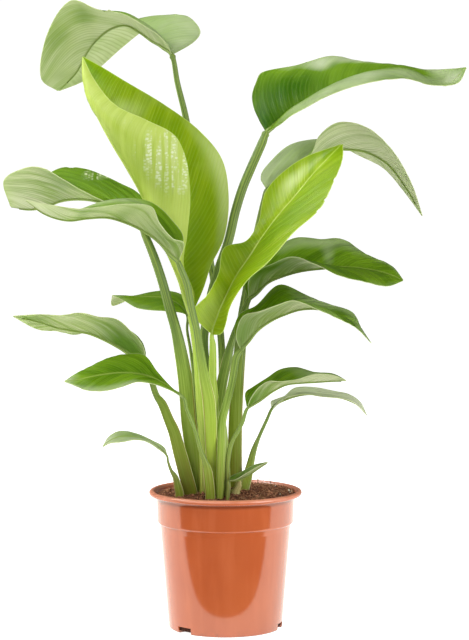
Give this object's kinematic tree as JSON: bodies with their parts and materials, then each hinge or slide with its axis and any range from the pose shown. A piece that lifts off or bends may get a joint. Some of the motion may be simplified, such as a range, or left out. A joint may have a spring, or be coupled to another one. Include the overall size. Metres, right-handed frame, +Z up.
{
  "type": "potted bird of paradise",
  "caption": "Leafy bird of paradise house plant with long-stalked arching blades, some still lime green, in a soil-filled terracotta-coloured nursery pot with drain notches.",
  "frame": {"origin": "centre of the pot's flat foot, on the floor", "axes": "+Z up along the pot's axis; +X to the right and +Y to the back, as seen from the side that faces the camera in the picture"},
  "size_m": [0.5844, 0.3586, 0.7859],
  "materials": {
    "pot_plastic": "glossy moulded, terracotta coloured",
    "soil": "rough fibrous potting soil",
    "leaf_green": "waxy, glossy above and paler and duller below",
    "leaf_young": "waxy, satin, translucent lime green",
    "sheath_dry": "dry, papery"
  },
  "bodies": {
    "root": {"pot": "pot_plastic", "soil": "soil", "leaf_top_back": "leaf_green", "leaf_tall_young": "leaf_young", "leaf_left_front": "leaf_green", "leaf_left_back": "leaf_green", "leaf_top_right": "leaf_green", "leaf_small_back": "leaf_green", "leaf_young_right": "leaf_young", "leaf_drooping_right": "leaf_green", "leaf_right_upper": "leaf_green", "leaf_right_middle": "leaf_green", "leaf_right_lower": "leaf_green", "leaf_right_lowest": "leaf_green", "leaf_left_lowest": "leaf_green", "leaf_left_middle": "leaf_green", "leaf_left_lower": "leaf_green", "leaf_smallest": "leaf_green", "sheath_old": "sheath_dry"}
  },
  "joints": []
}
